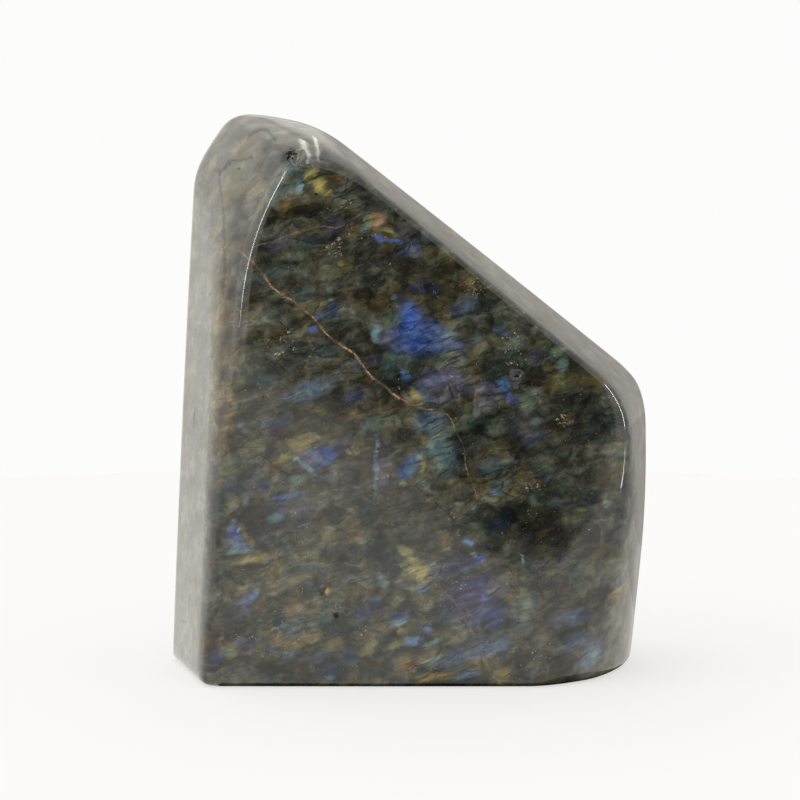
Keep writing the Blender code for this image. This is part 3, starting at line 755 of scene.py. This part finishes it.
# ------------------------------------------------------------------ shader building
class Nodes:
    """Adds nodes to one material; every method returns the output that it makes."""

    def __init__(self, tree):
        self.tree = tree

    def node(self, kind, **settings):
        made = self.tree.nodes.new("ShaderNode" + kind)
        for name, value in settings.items():
            setattr(made, name, value)
        return made

    def feed(self, socket, value):
        if isinstance(value, bpy.types.NodeSocket):
            self.tree.links.new(value, socket)
        elif socket.type == "RGBA" and len(value) == 3:
            socket.default_value = (*value, 1.0)
        else:
            socket.default_value = value

    def fed(self, made, values, output):
        """Feeds a node's first inputs and returns the named output."""
        for socket, value in zip(made.inputs, values):
            self.feed(socket, value)
        return made.outputs[output]

    def math(self, operation, *values):
        return self.fed(self.node("Math", operation=operation), values, "Value")

    def plus(self, first, second):
        return self.math("ADD", first, second)

    def times(self, first, second):
        return self.math("MULTIPLY", first, second)

    def scaled(self, value, factor, added):
        """value * factor + added"""
        return self.math("MULTIPLY_ADD", value, factor, added)

    def swing(self, value, weight, middle=0.5):
        """The value's swing about its middle, times a weight."""
        return self.scaled(value, weight, -middle * weight)

    def vector(self, operation, *values):
        output = "Value" if operation == "DOT_PRODUCT" else "Vector"
        return self.fed(self.node("VectorMath", operation=operation), values, output)

    def scaled_vector(self, vector, factor):
        made = self.node("VectorMath", operation="SCALE")
        self.feed(made.inputs["Scale"], factor)
        return self.fed(made, (vector,), "Vector")

    def mapping(self, kind, vector, location=(0, 0, 0), rotation=(0, 0, 0), scale=(1, 1, 1)):
        made = self.node("Mapping", vector_type=kind)
        return self.fed(made, (vector, location, rotation, scale), "Vector")

    def smooth(self, value, start, full, low=0.0, high=1.0):
        made = self.node("MapRange", interpolation_type="SMOOTHSTEP", clamp=False)
        return self.fed(made, (value, start, full, low, high), "Result")

    def mound(self, spot, middle, size, tilt):
        """1 at the middle of a tilted ellipsoid, falling evenly to 0 at its surface."""
        local = self.mapping("TEXTURE", spot, middle, (0.0, -radians(tilt), 0.0), size)
        return self.fed(self.node("TexGradient", gradient_type="SPHERICAL"), (local,), "Fac")

    def noise(self, vector, size, detail=2.0, roughness=0.5):
        """Noise whose lumps are about `size` mm; `size` may differ along each axis."""
        if isinstance(size, tuple):
            vector = self.mapping("POINT", vector, scale=tuple(1.0 / side for side in size))
            size = 1.0
        made = self.node("TexNoise")
        self.feed(made.inputs["Vector"], vector)
        made.inputs["Scale"].default_value = 1.0 / size
        made.inputs["Detail"].default_value = detail
        made.inputs["Roughness"].default_value = roughness
        return made.outputs["Fac"]

    def wander(self, vector, size, detail, roughness, reach):
        """A vector that changes slowly, up to about `reach` mm each way."""
        made = self.noise(vector, size, detail, roughness).node
        red, green, blue = self.channels(made.outputs["Color"])
        sides = [self.scaled(side, 2.0 * reach, -reach) for side in (red, green, blue)]
        return self.combine(*sides)

    def cells(self, vector, size, feature="F1"):
        """Voronoi cells of the given size in mm."""
        made = self.node("TexVoronoi", feature=feature)
        shrink = tuple(1.0 / side for side in size)
        self.feed(made.inputs["Vector"], self.mapping("POINT", vector, scale=shrink))
        made.inputs["Scale"].default_value = 1.0
        return made

    def blend(self, kind, share, first, second):
        """Mixes numbers (FLOAT), vectors (VECTOR) or colours (RGBA)."""
        made = self.node("Mix", data_type=kind)
        slot = {"FLOAT": 2, "VECTOR": 4, "RGBA": 6}[kind]
        self.feed(made.inputs[0], share)
        self.feed(made.inputs[slot], first)
        self.feed(made.inputs[slot + 1], second)
        return made.outputs[{"FLOAT": 0, "VECTOR": 1, "RGBA": 2}[kind]]

    def cover(self, share, colour, other):
        """The colour with a share of it covered by another."""
        return self.blend("RGBA", share, colour, other)

    def dim(self, colour, factor):
        """The colour times a number."""
        made = self.cover(factor, (0.0, 0.0, 0.0), colour)
        made.node.clamp_factor = False
        return made

    def tint(self, colour, other):
        """One colour times another."""
        made = self.cover(1.0, colour, other)
        made.node.blend_type = "MULTIPLY"
        return made

    def glow(self, share, colour, light):
        """The colour with a share of some light added."""
        made = self.cover(share, colour, light)
        made.node.blend_type = "ADD"
        made.node.clamp_factor = False
        return made

    def ramp(self, value, stops):
        made = self.node("ValToRGB")
        self.feed(made.inputs["Fac"], value)
        points = made.color_ramp.elements
        while len(points) < len(stops):
            points.new(1.0)
        for point, (spot, colour) in zip(points, stops):
            point.position = spot
            point.color = (*colour, 1.0)
        return made.outputs["Color"]

    def curve(self, value, points):
        """A smooth curve through (0..1, 0..1) points."""
        made = self.node("FloatCurve")
        self.feed(made.inputs["Value"], value)
        line = made.mapping.curves[0]
        line.points[0].location = points[0]
        line.points[-1].location = points[-1]
        for spot in points[1:-1]:
            line.points.new(*spot)
        made.mapping.update()
        return made.outputs["Value"]

    def split(self, vector):
        made = self.node("SeparateXYZ")
        self.feed(made.inputs["Vector"], vector)
        return made.outputs

    def combine(self, x, y=0.0, z=0.0):
        return self.fed(self.node("CombineXYZ"), (x, y, z), "Vector")

    def channels(self, colour):
        made = self.node("SeparateColor")
        self.feed(made.inputs["Color"], colour)
        return made.outputs

    def turn(self, vector, degrees):
        """Turns coordinates about Y; positive brings a climbing line level."""
        made = self.node("VectorRotate", rotation_type="Y_AXIS")
        self.feed(made.inputs["Vector"], vector)
        made.inputs["Angle"].default_value = radians(degrees)
        return made.outputs["Vector"]


# ------------------------------------------------------------------ the stone's material
def line_distance(nodes, spot, points):
    """Distance in mm from a wandering line, and 1 between its ends."""
    (x_start, z_start), (x_end, z_end) = points[0], points[-1]
    length = hypot(x_end - x_start, z_end - z_start)
    heading = atan2(z_end - z_start, x_end - x_start)
    local = nodes.mapping("TEXTURE", spot, (x_start, 0.0, z_start), (0.0, -heading, 0.0),
                          (length, 1.0, length))
    run, _, off = nodes.split(local)
    spots = []
    for x, z in points:
        along = ((x - x_start) * cos(heading) + (z - z_start) * sin(heading)) / length
        aside = (-(x - x_start) * sin(heading) + (z - z_start) * cos(heading)) / length
        spots.append((along, aside + 0.5))
    course = nodes.curve(run, spots)
    gap = nodes.math("SUBTRACT", nodes.plus(off, 0.5), course)
    distance = nodes.times(nodes.math("ABSOLUTE", gap), length)
    inside = nodes.times(nodes.smooth(run, *LINE_STARTS), nodes.smooth(run, *LINE_ENDS))
    return distance, inside


def draw_line(nodes, colour, spot, line, wobble, grit, ebb):
    """A rusty vein of changing width with a broken pale core, drawn over the colour."""
    core, halo, strength, points = line
    distance, inside = line_distance(nodes, spot, points)
    swell = nodes.smooth(wobble, *VEIN_IS_WIDE)
    reach = nodes.scaled(swell, halo, halo * LEAST_HALO)
    rust = nodes.smooth(distance, reach, nodes.times(reach, HALO_MIDDLE))
    drawn = nodes.times(nodes.times(inside, strength), ebb)
    colour = nodes.cover(nodes.times(rust, drawn), colour, VEIN_RUST)
    thick = nodes.scaled(nodes.smooth(grit, *CORE_IS_WIDE), core, core * LEAST_CORE)
    start, full = (nodes.times(thick, width) for width in CORE_EDGES)
    pale = nodes.smooth(distance, start, full)
    pale = nodes.times(pale, nodes.times(drawn, ebb))
    pale = nodes.times(pale, nodes.smooth(grit, *CORE_SHARE))
    return nodes.cover(pale, colour, VEIN_CORE), pale


def deep_mound(nodes, spot, x, z, half_length, half_width, tilt):
    """A mound that reaches deep into the stone from the show face."""
    size = (half_length, STAIN_HALF_DEPTH, half_width)
    return nodes.mound(spot, (x, STAIN_Y, z), size, tilt)


def lay_out(nodes):
    """Coordinates in mm, plain and wandering, and the crystals and streaks on them."""
    at = SimpleNamespace()
    at.spot = nodes.scaled_vector(nodes.node("TexCoord").outputs["Object"], 1.0 / MM)
    wander = nodes.wander(at.spot, *WANDER)
    at.ripple = nodes.wander(at.spot, *RIPPLE)
    at.gentle = nodes.vector("ADD", nodes.vector("ADD", at.spot, wander), at.ripple)
    at.soft = nodes.vector("MULTIPLY_ADD", wander, SOFT_WANDER, at.gentle)
    grain = nodes.turn(at.gentle, STREAK_TILT)
    splinters = nodes.cells(grain, SPLINTER_SIZE)
    middle = nodes.vector("MULTIPLY", splinters.outputs["Position"], SPLINTER_SIZE)
    to_middle = nodes.vector("SUBTRACT", middle, grain)
    snapped = nodes.vector("MULTIPLY_ADD", to_middle, SPLINTER_SNAP, grain)
    at.crisp = nodes.turn(snapped, -STREAK_TILT)
    plates = nodes.cells(nodes.turn(at.soft, STREAK_TILT), PLATE_SIZE)
    at.splinter_random = nodes.channels(splinters.outputs["Color"])
    at.plate_random = nodes.channels(plates.outputs["Color"])
    at.streak = nodes.noise(grain, *STREAKS)
    at.broad_streak = nodes.noise(grain, *BROAD_STREAKS)
    return at


def find_sides(nodes, at, shift):
    """Shares of the show face, of the faces round it and of their cloudy depth, which a painted sheen
    lightens.
    """
    lean = radians(FRONT_LEAN)
    behind = nodes.vector("DOT_PRODUCT", at.spot, (0.0, cos(lean), -sin(lean)))
    face_level = float((FRONT_Y + shift[1] / MM) * cos(lean) - CORE_HEIGHT * sin(lean))
    behind = nodes.math("SUBTRACT", behind, face_level)
    at.on_front = nodes.smooth(behind, *FRONT_DEPTH)
    at.on_sides = nodes.times(nodes.smooth(behind, *SIDES_BEGIN),
                              nodes.smooth(behind, *SIDES_END))
    at.milky = nodes.times(nodes.smooth(behind, *MILK_AND_SHEEN_DEPTH), at.on_sides)


def gather_stains(nodes, at):
    """What the stains add to the tone and to the warmth."""
    stains = (0.0, 0.0, 0.0)
    for x, z, half_length, half_width, tilt, lighter, warmer in STAINS:
        near = at.soft if half_width > FINE_STAIN else at.gentle
        mound = deep_mound(nodes, near, x, z, half_length, half_width, tilt)
        share = nodes.smooth(mound, 0.0, STAIN_SOFTNESS)
        added = nodes.scaled_vector((lighter, warmer, 0.0), share)
        stains = nodes.vector("ADD", added, stains)
    added_tone, added_warmth, _ = nodes.split(stains)
    return added_tone, added_warmth


def gather_smoke(nodes, at):
    """How much the smoky lines darken the stone."""
    smoke = 0.0
    for half_width, strength, points in SMOKE:
        distance, inside = line_distance(nodes, at.gentle, points)
        line = nodes.times(nodes.smooth(distance, half_width, 0.0), inside)
        smoke = nodes.scaled(line, strength, smoke)
    return smoke


def gather_flashes(nodes, at):
    """Place in the spectrum, strength and paleness of the listed flashes.

    The field carries strength as y; x and z are the place and the paleness times it.
    """
    field = (0.0, 0.0, 0.0)
    for x, z, half_length, half_width, tilt, hue, change, strength, pale in FLASHES:
        size = (half_length * FLASH_MARGIN, FLASH_HALF_DEPTH, half_width * FLASH_MARGIN)
        mound = nodes.mound(at.crisp, (x, FLASH_Y, z), size, tilt)
        share = nodes.smooth(mound, 0.0, FLASH_SOFTNESS)
        paint = (hue * strength, strength, pale * strength)
        if change:
            hue_part = nodes.scaled(mound, -change * strength, (hue + change) * strength)
            paint = nodes.combine(hue_part, strength, pale * strength)
        field = nodes.blend("VECTOR", share, field, paint)
    hue_part, strength, pale_part = nodes.split(field)
    some = nodes.math("MAXIMUM", strength, 0.001)
    hue = nodes.math("DIVIDE", hue_part, some)
    return hue, strength, nodes.math("DIVIDE", pale_part, some)


def colour_ground(nodes, at, stained, smoke):
    """The stone's own colour: tone and warmth from noises, crystals and stains; on the faces round
    the show face a painted sheen lightens it.
    """
    added_tone, added_warmth = stained
    tone = nodes.scaled(nodes.noise(at.soft, *WIDE_CLOUDS), WIDE_TONE, BASE_TONE)
    at.soft_grain = nodes.turn(at.soft, STREAK_TILT)
    clouds = nodes.noise(at.soft_grain, *CLOUDS)
    at.lumps = nodes.noise(at.soft_grain, *LUMPS)
    for value, weight in ((clouds, CLOUD_TONE), (at.plate_random[0], PLATE_TONE),
                          (at.splinter_random[0], SPLINTER_TONE)):
        tone = nodes.plus(tone, nodes.swing(value, weight))
    fine = nodes.plus(nodes.swing(at.lumps, LUMP_TONE),
                      nodes.swing(at.streak, STREAK_TONE))
    fine = nodes.plus(fine, nodes.swing(nodes.noise(at.spot, *FINE_GRAIN), GRAIN_TONE))
    calm = nodes.scaled(at.on_sides, CALMER, 1.0)
    tone = nodes.scaled(fine, calm, tone)
    tone = nodes.math("SUBTRACT", tone, SIDE_LEVEL)
    tone = nodes.scaled(tone, nodes.scaled(at.milky, EVENER, 1.0), SIDE_LEVEL)
    warm_clouds = nodes.noise(at.soft_grain, *WARM_CLOUDS)
    warmth = nodes.scaled(warm_clouds, CLOUD_WARMTH, BASE_WARMTH)
    warmth = nodes.plus(warmth, nodes.swing(at.plate_random[1], PLATE_WARMTH))
    warm_grain = nodes.noise(at.soft, *WARM_GRAIN)
    warmth = nodes.plus(warmth, nodes.swing(warm_grain, GRAIN_WARMTH))
    # painted sheen: lighter on the faces round the show face
    tone = nodes.scaled(at.milky, SIDE_TONE, tone)
    tone = nodes.plus(tone, added_tone)
    tone = nodes.math("SUBTRACT", tone, smoke)
    warmth = nodes.scaled(nodes.math("SUBTRACT", warmth, 0.5), calm, 0.5)
    warmth = nodes.plus(warmth, added_warmth)
    warmth = nodes.scaled(at.milky, SIDE_WARMTH, warmth)
    colour = nodes.tint(nodes.ramp(tone, GROUND_TONES), nodes.ramp(warmth, WARMTHS))
    # painted sheen: whiter on the faces round the show face
    return nodes.tint(colour, nodes.cover(at.milky, (1.0, 1.0, 1.0), SIDE_MILK_AND_SHEEN))


def add_flashes(nodes, at, colour, flashes):
    """Adds the listed flashes, and wild ones: faint in front, stronger behind."""
    hue, strength, pale = flashes
    wild = nodes.cells(at.soft_grain, WILD_FLASH_SIZE)
    wild_random = nodes.channels(wild.outputs["Color"])
    wild_share = nodes.times(nodes.smooth(wild_random[1], *WILD_CHANCE),
                             nodes.smooth(wild.outputs["Distance"], *WILD_EDGE))
    level = nodes.blend("FLOAT", at.on_front, WILD_BEHIND, WILD_IN_FRONT)
    wild_share = nodes.times(wild_share, level)
    wild_share = nodes.times(wild_share, nodes.scaled(at.on_sides, FEWER_FLASHES, 1.0))
    is_set = nodes.smooth(strength, *SET_BY_HAND)
    wild_hue = nodes.times(wild_random[0], WILD_SPECTRUM)
    hue = nodes.blend("FLOAT", is_set, wild_hue, hue)
    strength = nodes.math("MAXIMUM", strength, wild_share)
    hue = nodes.plus(hue, nodes.swing(at.lumps, HUE_SWING))
    hue = nodes.plus(hue, nodes.swing(at.broad_streak, HUE_SWING))
    # painted sheen: the flash is added to the base colour
    flash = nodes.ramp(hue, SPECTRUM)
    flash = nodes.cover(nodes.times(pale, PALENESS), flash, PALE_FLASH)
    lively = nodes.plus(nodes.swing(at.streak, STREAK_FLASH, STREAK_MIDDLE),
                        nodes.swing(at.lumps, LUMP_FLASH))
    broken = nodes.times(strength, nodes.smooth(at.broad_streak, *FLASH_GAPS))
    broken = nodes.times(broken, nodes.math("MAXIMUM", lively, LEAST_FLASH))
    colour = nodes.dim(colour, nodes.scaled(strength, GROUND_UNDER_FLASH, 1.0))
    return nodes.glow(broken, colour, flash), strength


def add_cracks(nodes, at, colour, strength):
    """Fine cracks, and dark lines along the crystals' grain."""
    cracks = nodes.cells(nodes.turn(at.gentle, STREAK_TILT + CRACK_TURN), CRACK_SIZE,
                         "DISTANCE_TO_EDGE")
    crack = nodes.smooth(cracks.outputs["Distance"], *CRACK_EDGE)
    patches = nodes.noise(at.spot, *CRACK_PATCHES)
    crack = nodes.times(crack, nodes.smooth(patches, *CRACKED))
    crack = nodes.times(crack, nodes.scaled(at.on_sides, FEWER_CRACKS, CRACK_SHARE))
    colour = nodes.cover(crack, colour, CRACK_COLOUR)
    lines = nodes.noise(nodes.turn(at.gentle, STREAK_TILT + GRAIN_LINE_TURN), *GRAIN_LINES)
    patchy = nodes.smooth(nodes.noise(at.spot, *LINE_PATCHES), *LINE_SHARE)
    line = nodes.times(nodes.smooth(lines, *GRAIN_LINE),
                       nodes.scaled(strength, GRAIN_LINE_FLASH, patchy))
    line = nodes.times(line, nodes.scaled(at.milky, FEWER_LINES, 1.0))
    return nodes.cover(line, colour, GRAIN_LINE_COLOUR)


def add_ore(nodes, at, colour):
    """Dark specks of ore and bright dashes of it, thicker in the swarms."""
    cells = nodes.cells(at.gentle, SPECK_SIZE)
    chance = nodes.channels(cells.outputs["Color"])[0]
    speck = nodes.times(nodes.smooth(cells.outputs["Distance"], *SPECK_EDGE),
                        nodes.smooth(chance, *SPECK_CHANCE))
    colour = nodes.cover(nodes.times(speck, SPECK_SHARE), colour, BLACK_ORE)
    at.grit = nodes.noise(at.spot, *GRIT)
    thread = nodes.swing(nodes.noise(at.gentle, *ORE_THREADS), 1.0)
    dash = nodes.smooth(nodes.math("ABSOLUTE", thread), *ORE_THREAD)
    swarm = nodes.noise(at.spot, *ORE_CLOUDS)
    for x, z, half_length, half_width, tilt, more in SWARMS:
        mound = deep_mound(nodes, at.gentle, x, z, half_length, half_width, tilt)
        swarm = nodes.scaled(nodes.smooth(mound, *SWARM_EDGE), more, swarm)
    few = nodes.smooth(swarm, *GRIT_TO_PASS)
    few = nodes.scaled(at.on_sides, FEWER_DASHES, few)
    above = nodes.math("SUBTRACT", at.grit, few)
    dash = nodes.times(dash, nodes.smooth(above, *DASH_EDGE))
    bright = nodes.ramp(at.broad_streak, BRIGHT_ORE)
    return nodes.cover(nodes.times(dash, DASH_SHARE), colour, bright), speck


def add_veins(nodes, at, colour):
    """Draws the brown veins; also returns how much of their core is drawn."""
    wobble = nodes.noise(at.spot, *VEIN_SWELL)
    ebb = nodes.smooth(nodes.noise(at.spot, *VEIN_EBB), *VEIN_SHARE)
    vein_spot = nodes.vector("MULTIPLY_ADD", at.ripple, VEIN_RIPPLE, at.spot)
    vein = None
    for line in VEINS + SEAMS:
        colour, drawn = draw_line(nodes, colour, vein_spot, line, wobble, at.grit, ebb)
        vein = drawn if vein is None else nodes.math("MAXIMUM", vein, drawn)
    return colour, vein


def gather_pores(nodes, at):
    """Clusters of open pores, painted black as the shade in them, which mirror nothing."""
    pore = 0.0
    for x, z, half_length, half_width, tilt, sparse in PORES:
        mound = deep_mound(nodes, at.gentle, x, z, half_length, half_width, tilt)
        raised = nodes.scaled(mound, PORE_MOUND, at.grit)
        cluster = nodes.smooth(raised, sparse, sparse + PORE_STEP)
        cluster = nodes.times(cluster, nodes.smooth(mound, *PORE_EDGE))
        pore = nodes.math("MAXIMUM", cluster, pore)
    return pore


def polish(nodes, at, shader, vein, speck, pore):
    """Nearly a mirror, duller in veins and on ore, with a faint ripple."""
    dull = nodes.plus(nodes.times(vein, VEIN_DULL), nodes.times(speck, SPECK_DULL))
    dull = nodes.scaled(pore, PORE_DULL, dull)
    haze = nodes.scaled(nodes.noise(at.spot, *POLISH_HAZE), HAZE_SWING, HAZE)
    nodes.feed(shader.inputs["Roughness"], nodes.plus(dull, haze))
    shader.inputs["IOR"].default_value = STONE_IOR
    bump = nodes.node("Bump")
    bump.inputs["Strength"].default_value = RELIEF_STRENGTH
    bump.inputs["Distance"].default_value = RELIEF_DEPTH * MM
    nodes.feed(bump.inputs["Height"], nodes.noise(at.spot, *SKIN_RELIEF))
    nodes.feed(shader.inputs["Normal"], bump.outputs["Normal"])


def stone_material(shift):
    material = bpy.data.materials.new("polished labradorite")
    material.use_nodes = True
    tree = material.node_tree
    shader = tree.nodes["Principled BSDF"]
    nodes = Nodes(tree)
    at = lay_out(nodes)
    find_sides(nodes, at, shift)
    stained = gather_stains(nodes, at)
    smoke = gather_smoke(nodes, at)
    flashes = gather_flashes(nodes, at)
    colour = colour_ground(nodes, at, stained, smoke)
    colour, strength = add_flashes(nodes, at, colour, flashes)
    colour = add_cracks(nodes, at, colour, strength)
    colour, speck = add_ore(nodes, at, colour)
    colour, vein = add_veins(nodes, at, colour)
    pore = gather_pores(nodes, at)
    # painted shade: the pores are painted black
    colour = nodes.cover(pore, colour, PORE_SHADE_COLOUR)
    nodes.feed(shader.inputs["Base Color"], colour)
    nodes.feed(shader.inputs["Specular IOR Level"], nodes.scaled(pore, PORE_SHINE, SHINE))
    polish(nodes, at, shader, vein, speck, pore)
    return material


# ------------------------------------------------------------------ the studio
FLOOR_RADIUS = 0.45       # m
FLOOR_SHADE = 0.30
FLOOR_GLOW = 0.58
FLOOR_COLOUR = (1.0, 0.985, 0.975, 1.0)
LIGHT_COLOUR = (1.0, 0.975, 0.935, 1.0)
BACKDROP_COLOUR = (1.0, 1.0, 0.995, 1.0)
BACKDROP_GLOW = 0.975
STONE_MIDDLE = (0.0, 0.0, 0.09)    # m, where the lamps point

# Brightness of the tent as the stone sees it: direction, cosine where it starts, cosine
# where it is full, level. The first row is the same all round, the next ones are
# brighter patches of its walls, and those with a negative level are dimmer patches.
LIGHT_LOBES = [
    ((0.0, 0.0, 1.0), -1.2, -1.1, 0.95),
    ((-0.15, -1.00, 0.00), 0.80, 0.98, 0.22),
    ((-0.62, 0.78, -0.06), 0.72, 0.97, 0.38),
    ((-0.80, 0.22, 0.52), 0.90, 0.97, 0.60),
    ((-0.78, -0.38, 0.48), 0.86, 0.95, 1.30),
    ((-0.98, -0.05, 0.00), 0.93, 0.99, 0.50),
    ((-0.25, 0.35, 0.90), 0.88, 0.97, 0.80),
    ((0.01, -0.27, 0.96), 0.960, 0.998, 1.00),
    ((0.26, 0.92, 0.27), 0.88, 0.985, -0.16),
    ((0.04, 0.84, 0.54), 0.965, 0.995, 0.80),
    ((0.40, 0.90, 0.05), 0.70, 0.95, -0.24),
]

# Strip lights beside the camera: name, place in metres, width, height, watts.
LAMPS = [
    ("left strip", (-0.75, -0.85, 0.55), 0.04, 0.60, 1.8),
    ("right strip", (0.95, -0.55, 0.45), 0.06, 0.60, 4.0),
]

# Glowing cards under the stone, seen only by the stone: name, left, right, near and far
# edge and height in metres, brightness.
CARDS = [
    ("bright card", -1.2, 1.2, -0.62, 1.5, -0.0006, 1.20),
    ("left card", -1.2, 0.0, -0.03, 1.5, -0.0004, 1.22),
    ("first step", 0.0, 1.2, -0.10, 1.5, -0.00035, 0.92),
    ("second step", 0.0, 1.2, -0.04, 1.5, -0.0003, 0.76),
    ("third step", 0.0, 1.2, 0.07, 1.5, -0.00025, 0.60),
    ("dim card", 0.0, 1.2, 0.18, 1.5, -0.0002, 0.46),
]

# Tube lights over the stone, mirrored in its nose: name, width, brightness, and the x, y
# of the points they pass, in metres.
TUBES = [
    ("first tube", 0.024, 6.5, [
        (0.055, 0.605), (-0.009, 0.320), (-0.044, -0.293), (-0.082, -0.775)]),
    ("second tube", 0.020, 5.0, [
        (0.165, 1.060), (0.150, 0.826), (0.123, 0.550), (0.070, 0.314), (0.035, -0.354)]),
]
TUBE_HEIGHT = 0.95

# A bright line on the table at the right, mirrored in the stone's long edge: x, y in
# metres.
LOW_STRIP = [(0.25, -0.17), (1.10, -0.65), (1.13, -0.60), (0.27, -0.13)]
LOW_STRIP_HEIGHT = 0.0004
LOW_STRIP_GLOW = 14.0

# The dark figure of the photographer, mirrored in the show face: x, z in metres.
FIGURE_Y = -1.02
FIGURE_SHADE = 0.012
FIGURE = [
    (0.109, -0.018), (0.144, -0.009), (0.163, 0.026), (0.183, 0.086), (0.30, 0.20),
    (0.60, 0.50), (0.60, 0.75), (-0.45, 0.75), (-0.45, 0.42), (-0.200, 0.20),
    (-0.124, 0.165), (-0.079, 0.127), (-0.029, 0.104), (-0.010, 0.085), (0.031, 0.036),
    (0.075, -0.007)]

# The unlit strip of table round the base, mirrored in the edge of the base: x, y in mm.
CONTACT_HEIGHT = -0.0001  # m
CONTACT_SHADE = 0.03
CONTACT = [
    (-50.0, -32.5), (44.0, -32.5), (53.0, -26.0), (59.0, -10.0), (64.0, 8.0), (50.0, 33.0),
    (-48.0, 33.0), (-60.0, 10.0)]

# The camera
CAMERA_LENS = 90.0        # mm
CAMERA_SENSOR = 36.0      # mm
CAMERA_ELEVATION = 5.0    # degrees
CAMERA_DISTANCE = 0.550   # m
CAMERA_AIM_X = -0.0026    # m
CAMERA_AIM_Z = 0.0739     # m


def sheet(name, corners, faces):
    mesh = bpy.data.meshes.new(name)
    mesh.from_pydata(corners, [], faces)
    return mesh


def stage_piece(mesh, shade, roughness=0.5, shine=0.0, glow=0.0, colour=LIGHT_COLOUR):
    """One plain piece of the studio."""
    piece = bpy.data.objects.new(mesh.name, mesh)
    bpy.context.scene.collection.objects.link(piece)
    material = bpy.data.materials.new(mesh.name)
    material.use_nodes = True
    inputs = material.node_tree.nodes["Principled BSDF"].inputs
    inputs["Base Color"].default_value = (shade, shade, shade, 1.0)
    inputs["Roughness"].default_value = roughness
    inputs["Specular IOR Level"].default_value = shine
    inputs["Emission Color"].default_value = colour
    inputs["Emission Strength"].default_value = glow
    mesh.materials.append(material)
    return piece


def make_floor():
    mesh = bpy.data.meshes.new("floor")
    shape = bmesh.new()
    bmesh.ops.create_circle(shape, cap_ends=True, segments=96, radius=FLOOR_RADIUS)
    shape.to_mesh(mesh)
    shape.free()
    floor = stage_piece(mesh, FLOOR_SHADE, roughness=0.6, glow=FLOOR_GLOW, colour=FLOOR_COLOUR)
    floor.visible_glossy = False
    floor.visible_diffuse = False


def make_glowing(name, corners, faces, glow):
    """A glowing sheet that only the stone sees."""
    card = stage_piece(sheet(name, corners, faces), 0.0, glow=glow)
    card.visible_camera = False
    card.visible_shadow = False
    return card


def make_card(name, left, right, near, far, height, glow):
    corners = [(left, near, height), (right, near, height), (right, far, height), (left, far, height)]
    make_glowing(name, corners, [(0, 1, 2, 3)], glow)


def make_tube(name, width, glow, path):
    corners = []
    for x, y in path:
        corners += [(x - width / 2.0, y, TUBE_HEIGHT), (x + width / 2.0, y, TUBE_HEIGHT)]
    faces = [(2 * i, 2 * i + 1, 2 * i + 3, 2 * i + 2) for i in range(len(path) - 1)]
    tube = make_glowing(name, corners, faces, glow)
    tube.visible_diffuse = False


def make_low_strip():
    corners = [(x, y, LOW_STRIP_HEIGHT) for x, y in LOW_STRIP]
    strip = make_glowing("low strip", corners, [(0, 1, 2, 3)], LOW_STRIP_GLOW)
    strip.visible_diffuse = False


def make_contact_shadow():
    corners = [(x * MM, y * MM, CONTACT_HEIGHT) for x, y in CONTACT]
    strip = stage_piece(sheet("contact_shadow", corners, [range(len(corners))]), CONTACT_SHADE)
    strip.visible_camera = False


def make_figure():
    corners = [(x, FIGURE_Y, z) for x, z in FIGURE]
    figure = stage_piece(sheet("dark_backing", corners, [range(len(corners))]), FIGURE_SHADE,
                         roughness=0.9, shine=0.5)
    figure.visible_camera = False


def make_tent(nodes):
    """Brightness of the tent: the sum of its lobes."""
    around = nodes.node("TexCoord").outputs["Generated"]
    total = 0.0
    for direction, start, full, level in LIGHT_LOBES:
        facing = nodes.vector("DOT_PRODUCT", around, Vector(direction).normalized())
        total = nodes.plus(total, nodes.smooth(facing, start, full, 0.0, level))
    return total


def make_world():
    """The tent lights the stone; the camera sees a plain pale backdrop."""
    world = bpy.data.worlds.new("studio")
    bpy.context.scene.world = world
    world.use_nodes = True
    world.node_tree.nodes.clear()
    nodes = Nodes(world.node_tree)
    tent = nodes.fed(nodes.node("Background"), (LIGHT_COLOUR, make_tent(nodes)), "Background")
    backdrop = nodes.fed(nodes.node("Background"), (BACKDROP_COLOUR, BACKDROP_GLOW), "Background")
    to_camera = nodes.node("LightPath").outputs["Is Camera Ray"]
    mixed = nodes.fed(nodes.node("MixShader"), (to_camera, tent, backdrop), "Shader")
    nodes.feed(nodes.node("OutputWorld").inputs["Surface"], mixed)


def make_lamp(name, place, width, height, watts):
    data = bpy.data.lights.new(name, "AREA")
    data.shape = "RECTANGLE"
    data.size = width
    data.size_y = height
    data.energy = watts
    data.use_shadow = False
    lamp = bpy.data.objects.new(name, data)
    bpy.context.scene.collection.objects.link(lamp)
    lamp.location = place
    aim = Vector(STONE_MIDDLE) - Vector(place)
    lamp.rotation_euler = aim.to_track_quat("-Z", "Y").to_euler()


def make_camera(shift):
    data = bpy.data.cameras.new("camera")
    data.lens = CAMERA_LENS
    data.sensor_width = CAMERA_SENSOR
    data.sensor_fit = "HORIZONTAL"
    camera = bpy.data.objects.new("camera", data)
    bpy.context.scene.collection.objects.link(camera)
    elevation = radians(CAMERA_ELEVATION)
    target = Vector((CAMERA_AIM_X + shift[0], shift[1], CAMERA_AIM_Z))
    camera.location = target + Vector((0.0, -cos(elevation), sin(elevation))) * CAMERA_DISTANCE
    camera.rotation_euler = (radians(90.0) - elevation, 0.0, 0.0)
    bpy.context.scene.camera = camera


# ------------------------------------------------------------------ putting it together
stone, shift = make_stone()
stone.data.materials.clear()
stone.data.materials.append(stone_material(shift))
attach(stone, "root")
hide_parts(NODE)
make_floor()
for card in CARDS:
    make_card(*card)
make_world()
make_figure()
for lamp in LAMPS:
    make_lamp(*lamp)
for tube in TUBES:
    make_tube(*tube)
make_low_strip()
make_contact_shadow()
make_camera(shift)
bpy.context.scene.view_settings.view_transform = "Standard"
